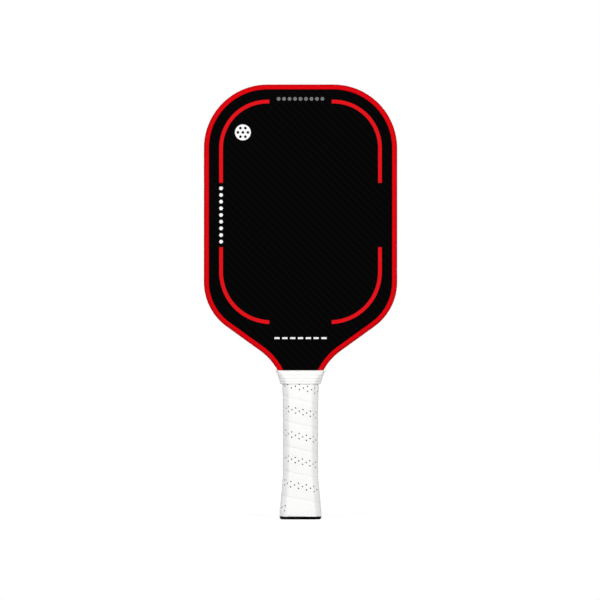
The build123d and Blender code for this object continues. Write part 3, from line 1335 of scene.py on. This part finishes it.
@dataclass
class EdgeGuard:
    """The edge guard: a soft U channel drawn round the head's outline."""

    tip_radius: float = 61.5 * MM
    shoulder_rise: float = 89.8 * MM
    shoulder_radius: float = 53.0 * MM
    shoulder_turn: float = math.radians(54.2)
    throat_radius: float = 56.0 * MM
    throat_width: float = 30.8 * MM
    end_gap: float = 0.2 * MM
    web: float = 1.6 * MM
    lip: float = 1.0 * MM
    lip_width: float = 5.2 * MM
    tip_steps: tuple[Pair, ...] = ((0.05 * MM, 0.55 * MM), (0.3 * MM, 0.18 * MM), (0.75 * MM, 0.0))
    root_fillet: Pair = (0.3 * MM, 0.4 * MM)
    edge_radius: float = 2.5 * MM
    edge_steps: int = 4
    side_radius: float = 44.0 * MM
    side_steps: int = 3
    step: float = 2.6 * MM
    head_width: float = field(init=False)
    tip: float = field(init=False)
    bottom: float = field(init=False)
    half: float = field(init=False)

    def __post_init__(self) -> None:
        """Read the guard's size and place from its node."""
        low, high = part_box("edge_guard")
        self.head_width = high.x - low.x
        self.tip = high.z
        self.bottom = low.z
        self.half = high.y

    def route(self) -> list[Stretch]:
        """Lay out the right half's outline: tip, corner, side, shoulder, slope and throat.

        Returns:
            Its stretches, from the middle of the tip down to the throat.
        """
        side = self.head_width / 2
        shoulder_height = self.bottom - self.end_gap + self.shoulder_rise
        tip_centre = Vector((side - self.tip_radius, self.tip - self.tip_radius))
        shoulder = Vector((side - self.shoulder_radius, shoulder_height))
        turn = self.shoulder_turn
        throat_x = self.throat_width / 2 + self.throat_radius
        reach = self.shoulder_radius + self.throat_radius - (throat_x - shoulder.x) * math.cos(turn)
        throat = Vector((throat_x, shoulder.y - reach / math.sin(turn)))

        leave = Vector((math.cos(-turn), math.sin(-turn)))
        end_angle = math.pi - math.asin((self.bottom - throat.y) / self.throat_radius)
        return [
            straight(Vector((0.0, self.tip)), Vector((tip_centre.x, self.tip)), Vector((0.0, 1.0))),
            arc(tip_centre, self.tip_radius, math.pi / 2, 0.0),
            straight(Vector((side, tip_centre.y)), Vector((side, shoulder_height)), Vector((1.0, 0.0))),
            arc(shoulder, self.shoulder_radius, 0.0, -turn),
            straight(shoulder + self.shoulder_radius * leave, throat - self.throat_radius * leave, leave),
            arc(throat, self.throat_radius, math.pi - turn, end_angle, side=-1.0),
        ]

    def stations(self) -> list[tuple[Vector, Vector]]:
        """Space out stations all round the head.

        Returns:
            Places with outward directions, from the right end over the tip to the left end.
        """
        right = []
        for length, at in self.route():
            count = max(1, math.ceil(length / self.step))
            first = 1 if right else 0
            right += [at(length * index / count) for index in range(first, count + 1)]
        flip = Vector((-1.0, 1.0))
        left = [(place * flip, out * flip) for place, out in right[1:]]
        return right[::-1] + left

    def end_half_width(self) -> float:
        """Half width over the guard where it ends in the throat."""
        return self.stations()[0][0].x

    def profile(self) -> list[Pair]:
        """Draw the channel's section, with its rounded lips and crowned side.

        Returns:
            Depths inwards from the outer face, with places across it.
        """
        inner = self.half - self.lip
        crown, radius = self.side_radius, self.edge_radius
        meeting = math.asin((self.half - radius) / (crown - radius))
        middle = crown - (crown - radius) * math.cos(meeting)

        def on_edge(step: int) -> Pair:
            """Find a point of the rounded edge, counted from the lip's face."""
            angle = math.pi / 2 + (meeting - math.pi / 2) * step / self.edge_steps
            return middle - radius * math.cos(angle), self.half - radius + radius * math.sin(angle)

        def on_side(step: int) -> Pair:
            """Find a point of the crowned side, counted from its middle."""
            angle = meeting * step / self.side_steps
            return crown - crown * math.cos(angle), crown * math.sin(angle)

        wide, high = self.root_fillet
        upper = [(self.web, inner - high), (self.web + wide, inner), (self.lip_width, inner)]
        upper += [(self.lip_width - back, self.half - down) for back, down in self.tip_steps]
        upper += [on_edge(step) for step in range(self.edge_steps + 1)]
        upper += [on_side(step) for step in range(self.side_steps - 1, 0, -1)]
        lower = [(depth, -across) for depth, across in reversed(upper)]
        return [*upper, (0.0, 0.0), *lower]

    def build(self) -> bpy.types.Object:
        """Build the guard.

        Returns:
            The piece that stands for the edge guard's node.
        """
        mesh = bmesh.new()
        stations = self.stations()
        places = [Vector((0.0, across, -depth)) for depth, across in self.profile()]
        corners, ring = closed_loop(mesh, places)
        mesh.faces.new(corners)
        for _ in stations[1:]:
            drawn = bmesh.ops.extrude_edge_only(mesh, edges=ring)["geom"]
            moved = [item for item in drawn if isinstance(item, bmesh.types.BMVert)]
            ring = [item for item in drawn if isinstance(item, bmesh.types.BMEdge)]
            bmesh.ops.translate(mesh, verts=moved, vec=(1.0, 0.0, 0.0))
        bmesh.ops.contextual_create(mesh, geom=ring)

        def bend(place: Vector) -> Vector:
            """Bend a point of the straight channel round the head.

            Args:
                place: The point.

            Returns:
                Its place on the guard.
            """
            centre, out = stations[round(place.x)]
            flat = centre + out * place.z
            return Vector((flat.x, place.y, flat.y))

        reshape(mesh.verts, bend)
        return as_piece("soft_edge_guard", mesh, "guard_red", ["edge_guard"], levels=1)


# Butt cap


@dataclass
class ButtCap:
    """The moulded butt cap, whose edges are broken as a mould leaves them."""

    edge_round: float = 0.2 * MM
    round_steps: int = 3
    sharp: float = math.radians(24)
    flat: float = math.radians(1)
    weld: float = 0.002 * MM
    hidden_reach: float = 14 * MM

    def build(self) -> bpy.types.Object:
        """Build the cap from a merged copy of its node.

        Returns:
            The piece that stands for the butt cap's node.
        """
        mesh = bmesh.new()
        mesh.from_mesh(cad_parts["butt_cap"].data)
        bmesh.ops.remove_doubles(mesh, verts=mesh.verts[:], dist=self.weld)
        bmesh.ops.dissolve_limit(mesh, angle_limit=self.flat, verts=mesh.verts[:], edges=mesh.edges[:])
        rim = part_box("cushion_grip")[0].z
        edges = [
            edge
            for edge in mesh.edges
            if len(edge.link_faces) == 2
            and edge.calc_face_angle() > self.sharp
            and max(vertex.co.z for vertex in edge.verts) < rim
            and min(abs(vertex.co.x) + abs(vertex.co.y) for vertex in edge.verts) > self.hidden_reach
        ]
        bmesh.ops.bevel(
            mesh, geom=edges, offset=self.edge_round, affect="EDGES", segments=self.round_steps,
            profile=0.5, material=-1,
        )
        return as_piece("moulded_butt_cap", mesh, "cap_black", ["butt_cap"])


# Studio


@dataclass
class Studio:
    """A pale floor, plain soft light and a long lens square to the front face."""

    distance: float = 6.0
    view_width: float = 0.5786
    sideways: float = -0.0005
    rise: float = 0.00161
    sensor: float = 36.0
    nearest: float = 0.1
    farthest: float = 60.0
    ambient: float = 0.275
    lamp_share: float = 0.36
    rear_share: float = 0.62
    lamp_distance: float = 3.0
    lamp_size: float = 1.4
    lamp_azimuth: float = math.radians(22)
    lamp_elevation: float = math.radians(16)
    rear_elevation: float = math.radians(5)
    floor_radius: float = 1.6
    floor_sides: int = 96
    floor_gap: float = 0.02 * MM

    def camera(self) -> None:
        """Stand the camera in front of the paddle."""
        low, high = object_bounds()
        middle = (low + high) / 2
        lens = bpy.data.cameras.new("studio_camera")
        lens.sensor_width = self.sensor
        lens.lens = self.sensor * self.distance / self.view_width
        lens.clip_start, lens.clip_end = self.nearest, self.farthest
        camera = link("studio_camera", lens)
        camera.location = (middle.x + self.sideways, -self.distance, middle.z + self.rise)
        camera.rotation_euler = (math.pi / 2, 0.0, 0.0)
        bpy.context.scene.camera = camera

    def lamp(self, name: str, azimuth: float, elevation: float, share: float) -> None:
        """Hang one soft box, aimed at the middle of the paddle.

        Args:
            name: The lamp's name.
            azimuth: Direction round the paddle, from its front, in radians.
            elevation: Direction above the horizon in radians.
            share: Share of plain light that it gives the face that it lights.
        """
        low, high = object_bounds()
        level = math.cos(elevation)
        away = Vector((math.sin(azimuth) * level, -math.cos(azimuth) * level, math.sin(elevation)))
        box = bpy.data.lights.new(name, "AREA")
        box.shape = "DISK"
        box.size = self.lamp_size
        box.energy = share * math.pi**2 * self.lamp_distance**2 / abs(away.y)
        stand = link(name, box)
        stand.location = (low + high) / 2 + self.lamp_distance * away
        stand.rotation_mode = "QUATERNION"
        stand.rotation_quaternion = (-away).to_track_quat("-Z", "Y")

    def lamps(self) -> None:
        """Hang two soft boxes beside the camera and one behind the paddle."""
        self.lamp("left_soft_box", -self.lamp_azimuth, self.lamp_elevation, self.lamp_share)
        self.lamp("right_soft_box", self.lamp_azimuth, self.lamp_elevation, self.lamp_share)
        self.lamp("rear_soft_box", math.pi, self.rear_elevation, self.rear_share)

    def world(self) -> None:
        """Light the room evenly, and show it white to the lens, in gloss and through glass."""
        tree = ShaderTree(bpy.data.worlds.new("plain_studio"))
        level = self.ambient + (1.0 - self.ambient) * tree.seen()
        light = tree.node("ShaderNodeBackground", None, {"Color": (*WHITE, 1.0), "Strength": level})
        tree.node("ShaderNodeOutputWorld", None, {"Surface": light.outputs["Background"]})
        bpy.context.scene.world = tree.owner

    def floor(self) -> None:
        """Lay a round pale floor under the butt."""
        mesh = bmesh.new()
        bmesh.ops.create_circle(mesh, cap_ends=True, segments=self.floor_sides, radius=self.floor_radius)
        bmesh.ops.translate(mesh, verts=mesh.verts[:], vec=(0.0, 0.0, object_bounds()[0].z - self.floor_gap))
        floor = as_object("studio_floor", mesh)
        floor.data.materials.append(PaleFloor().material())
        floor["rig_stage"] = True

    def build(self) -> None:
        """Set up the camera, the light and the floor."""
        bpy.context.scene.view_settings.view_transform = "Standard"
        self.camera()
        self.lamps()
        self.world()
        self.floor()


# The paddle


@dataclass
class Paddle:
    """The whole paddle, dressed part by part."""

    paint: PaintShop = field(default_factory=PaintShop)
    form: HandleForm = field(default_factory=HandleForm)
    guard: EdgeGuard = field(default_factory=EdgeGuard)

    def dress_panel(self) -> None:
        """Finish the panel's layers."""
        self.paint.dress_nodes(Finish.CORE, "honeycomb_core")
        self.paint.dress_nodes(Finish.FILM, "front_adhesive_film", "rear_adhesive_film")
        self.paint.dress_nodes(Finish.CARBON, "front_face_skin", "rear_face_skin")
        self.paint.dress_nodes(Finish.GUARD_TAPE, "edge_guard_tape")

    def dress_prints(self) -> None:
        """Finish the printed marks."""
        self.paint.dress_nodes(Finish.INK_RED, "front_border_print", "rear_border_print")
        self.paint.dress_nodes(Finish.INK_WHITE, "front_ball_print", "front_side_marks", "front_throat_marks")
        self.paint.dress_nodes(Finish.INK_GREY, "front_tip_marks")

    def dress_handle_core(self) -> None:
        """Finish what lies under the grip."""
        self.paint.dress_nodes(Finish.FOAM, "front_handle_half", "rear_handle_half")
        self.paint.dress_nodes(Finish.FILM, "front_handle_bond", "rear_handle_bond")
        self.paint.dress_nodes(Finish.STEEL, "grip_staple")
        self.paint.dress_nodes(Finish.FINISHING, "grip_finishing_tape")
        self.paint.dress_nodes(Finish.CAP, "butt_cap")
        self.paint.dress_nodes(Finish.GRIP_BACK, "cushion_grip")
        self.paint.dress_nodes(Finish.COLLAR, "grip_collar")
        self.paint.dress_nodes(Finish.GUARD, "edge_guard")

    def build(self) -> None:
        """Build the new pieces and dress everything."""
        self.dress_panel()
        self.dress_prints()
        self.dress_handle_core()
        self.add(self.guard.build(), Finish.GUARD)
        self.add(CushionGrip(self.form).build(), Finish.GRIP, Finish.GRIP_BACK)
        self.add(Collar(self.form, self.guard).build(), Finish.COLLAR)
        self.add(ButtCap().build(), Finish.CAP)

    def add(self, piece: bpy.types.Object, *finishes: Finish) -> None:
        """Dress a new piece and report it.

        Args:
            piece: The piece.
            finishes: Its finishes in the order of its material slots.
        """
        self.paint.dress(piece, *finishes)
        LOG.info("%s: %d faces, %s", piece.name, len(piece.data.polygons), piece["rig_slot"])


def main() -> None:
    """Build the paddle in its studio."""
    logging.basicConfig(level=logging.INFO, format="%(name)s: %(message)s", force=True)
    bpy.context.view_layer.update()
    Paddle().build()
    Studio().build()


if __name__ == "__main__":
    main()
